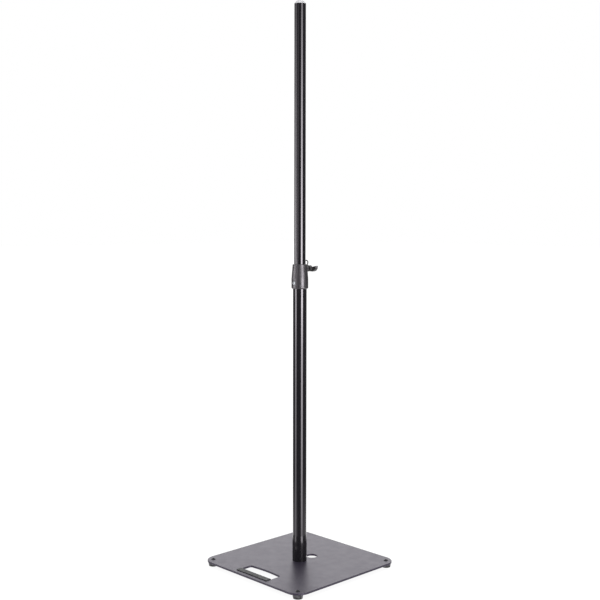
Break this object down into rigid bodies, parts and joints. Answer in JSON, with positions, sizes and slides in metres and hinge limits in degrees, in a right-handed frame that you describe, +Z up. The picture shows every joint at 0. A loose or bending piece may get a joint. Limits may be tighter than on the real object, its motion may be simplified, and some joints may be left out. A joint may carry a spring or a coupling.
{
  "type": "loudspeaker stand",
  "caption": "Square-base loudspeaker stand with a telescopic round mast, hand clamp, safety bolt, carrying slot and levelling feet.",
  "frame": {"origin": "on the floor under the mast, at the centre of the base plate", "axes": "+Z up along the mast; +X and +Y along the sides of the base plate, with the carrying slot on -Y and the clamp knob on +Y"},
  "size_m": [0.425, 0.425, 1.7105],
  "materials": {
    "powder_black": "satin black powder coat",
    "gloss_black": "gloss black enamel on steel tube",
    "sleeve_black": "gloss black plastic",
    "collar_grey": "satin dark grey moulded plastic",
    "knob_black": "fine grained black moulded plastic",
    "guide_nylon": "natural grey nylon",
    "cap_grey": "light grey moulded plastic",
    "zinc_steel": "bright zinc plated steel",
    "black_steel": "black oxide steel",
    "brass": "machined brass",
    "grip_rubber": "soft black rubber grip",
    "foot_rubber": "black rubber sole",
    "foot_plastic": "ribbed dark grey plastic",
    "tether_cord": "black nylon cord"
  },
  "bodies": {
    "stand": {"base_plate": "powder_black", "handle_grip": "grip_rubber", "base_sleeve": "sleeve_black", "base_plug": "zinc_steel", "base_bolt": "zinc_steel", "base_washer": "zinc_steel", "lower_tube": "gloss_black", "guide_bush": "guide_nylon", "collar": "collar_grey", "collar_fixing_screw": "zinc_steel", "clamp_insert": "brass", "bolt_bush": "brass", "tether_screw_eye": "tether_cord", "tether": "tether_cord", "foot_inserts": "black_steel"},
    "mast_glide": {"mast_glide_ring": "guide_nylon"},
    "mast": {"mast_tube": "gloss_black", "mast_cap": "cap_grey", "mast_end_plug": "guide_nylon", "mast_retaining_ring": "black_steel"},
    "clamp_shoe": {"clamp_shoe": "guide_nylon"},
    "clamp_screw": {"clamp_screw": "zinc_steel", "clamp_knob": "knob_black"},
    "safety_bolt": {"safety_bolt": "zinc_steel", "safety_bolt_head": "knob_black", "tether_bolt_eye": "tether_cord"},
    "foot_sole_front_left": {"foot_sole_front_left": "foot_rubber"},
    "foot_front_left": {"foot_knob_front_left": "foot_plastic", "foot_stud_front_left": "black_steel"},
    "foot_sole_front_right": {"foot_sole_front_right": "foot_rubber"},
    "foot_front_right": {"foot_knob_front_right": "foot_plastic", "foot_stud_front_right": "black_steel"},
    "foot_sole_rear_left": {"foot_sole_rear_left": "foot_rubber"},
    "foot_rear_left": {"foot_knob_rear_left": "foot_plastic", "foot_stud_rear_left": "black_steel"},
    "foot_sole_rear_right": {"foot_sole_rear_right": "foot_rubber"},
    "foot_rear_right": {"foot_knob_rear_right": "foot_plastic", "foot_stud_rear_right": "black_steel"}
  },
  "joints": [
    {"name": "mast_height", "type": "slide", "parent": "stand", "child": "mast_glide", "axis": [0, 0, 1], "range_m": [-0.7, 0]},
    {"name": "mast_turn", "type": "hinge", "parent": "mast_glide", "child": "mast", "pos_m": [0, 0, 0.8], "axis": [0, 0, 1], "range_deg": [0, 360]},
    {"name": "clamp_advance", "type": "slide", "parent": "stand", "child": "clamp_shoe", "axis": [0, 1, 0], "range_m": [0, 0.00156]},
    {"name": "clamp_knob_turn", "type": "hinge", "parent": "clamp_shoe", "child": "clamp_screw", "pos_m": [0, 0.02, 0.9175], "axis": [0, 1, 0], "range_deg": [0, 451]},
    {"name": "safety_bolt_pull", "type": "slide", "parent": "stand", "child": "safety_bolt", "axis": [-0.7071, 0.7071, 0], "range_m": [-0.012, 0.02], "deforming": ["tether"]},
    {"name": "foot_front_left_drop", "type": "slide", "parent": "stand", "child": "foot_sole_front_left", "axis": [0, 0, -1], "range_m": [0, 0.005]},
    {"name": "foot_front_left_turn", "type": "hinge", "parent": "foot_sole_front_left", "child": "foot_front_left", "pos_m": [-0.188, -0.188, 0.008], "axis": [0, 0, -1], "range_deg": [0, 1441]},
    {"name": "foot_front_right_drop", "type": "slide", "parent": "stand", "child": "foot_sole_front_right", "axis": [0, 0, -1], "range_m": [0, 0.005]},
    {"name": "foot_front_right_turn", "type": "hinge", "parent": "foot_sole_front_right", "child": "foot_front_right", "pos_m": [0.188, -0.188, 0.008], "axis": [0, 0, -1], "range_deg": [0, 1441]},
    {"name": "foot_rear_left_drop", "type": "slide", "parent": "stand", "child": "foot_sole_rear_left", "axis": [0, 0, -1], "range_m": [0, 0.005]},
    {"name": "foot_rear_left_turn", "type": "hinge", "parent": "foot_sole_rear_left", "child": "foot_rear_left", "pos_m": [-0.188, 0.188, 0.008], "axis": [0, 0, -1], "range_deg": [0, 1441]},
    {"name": "foot_rear_right_drop", "type": "slide", "parent": "stand", "child": "foot_sole_rear_right", "axis": [0, 0, -1], "range_m": [0, 0.005]},
    {"name": "foot_rear_right_turn", "type": "hinge", "parent": "foot_sole_rear_right", "child": "foot_rear_right", "pos_m": [0.188, 0.188, 0.008], "axis": [0, 0, -1], "range_deg": [0, 1441]}
  ],
  "couplings": [
    {"joint": "clamp_knob_turn", "follows": "clamp_advance", "rad_per_m": 5026.5},
    {"joint": "foot_front_left_turn", "follows": "foot_front_left_drop", "rad_per_m": 5026.5},
    {"joint": "foot_front_right_turn", "follows": "foot_front_right_drop", "rad_per_m": 5026.5},
    {"joint": "foot_rear_left_turn", "follows": "foot_rear_left_drop", "rad_per_m": 5026.5},
    {"joint": "foot_rear_right_turn", "follows": "foot_rear_right_drop", "rad_per_m": 5026.5}
  ]
}
